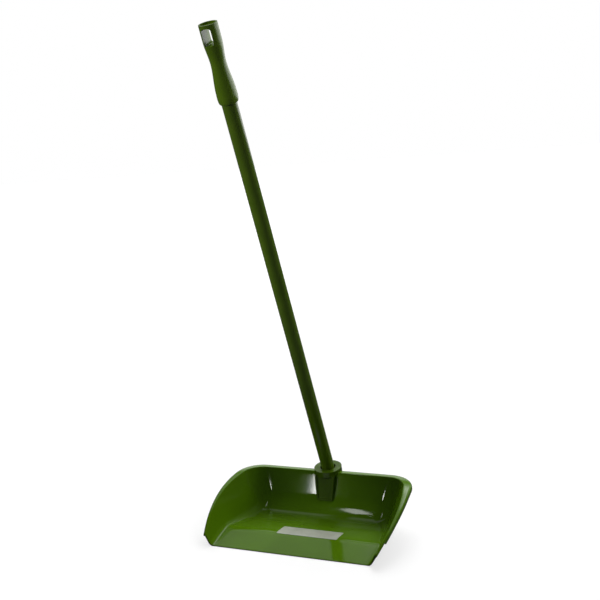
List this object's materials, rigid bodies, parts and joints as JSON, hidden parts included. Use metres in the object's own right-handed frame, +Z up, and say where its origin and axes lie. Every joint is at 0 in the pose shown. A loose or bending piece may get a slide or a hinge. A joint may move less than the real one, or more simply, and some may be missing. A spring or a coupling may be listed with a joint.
{
  "type": "long-handled dustpan",
  "caption": "Upright dustpan: a moulded pan with a ramped lip, curved side walls and flanged rim, carried on a long leaning tube handle with a waisted grip and hang slot.",
  "frame": {"origin": "on the ground, midway across the pan, under the level strip of floor that it stands on", "axes": "+X across the mouth to the right seen from the front, +Y from the mouth to the back wall, +Z up"},
  "size_m": [0.3106, 0.297, 0.7585],
  "materials": {
    "pan_plastic": "glossy moulded dark olive green",
    "socket_plastic": "satin moulded dark olive green",
    "ferrule_plastic": "matt, very dark green",
    "tube_steel": "plain drawn steel under the sleeve",
    "sleeve_plastic": "thin glossy dark olive green coat",
    "grip_plastic": "satin moulded dark olive green",
    "label_film": "blank pale film"
  },
  "bodies": {
    "pan": {"pan": "pan_plastic", "handle_socket": "socket_plastic", "floor_label": "label_film"},
    "handle": {"handle_ferrule": "ferrule_plastic", "handle_tube": "tube_steel", "tube_sleeve": "sleeve_plastic", "hand_grip": "grip_plastic"}
  },
  "joints": [
    {"name": "handle_pull", "type": "slide", "parent": "pan", "child": "handle", "axis": [0, -0.3453, 0.9385], "range_m": [0, 0.055]}
  ]
}
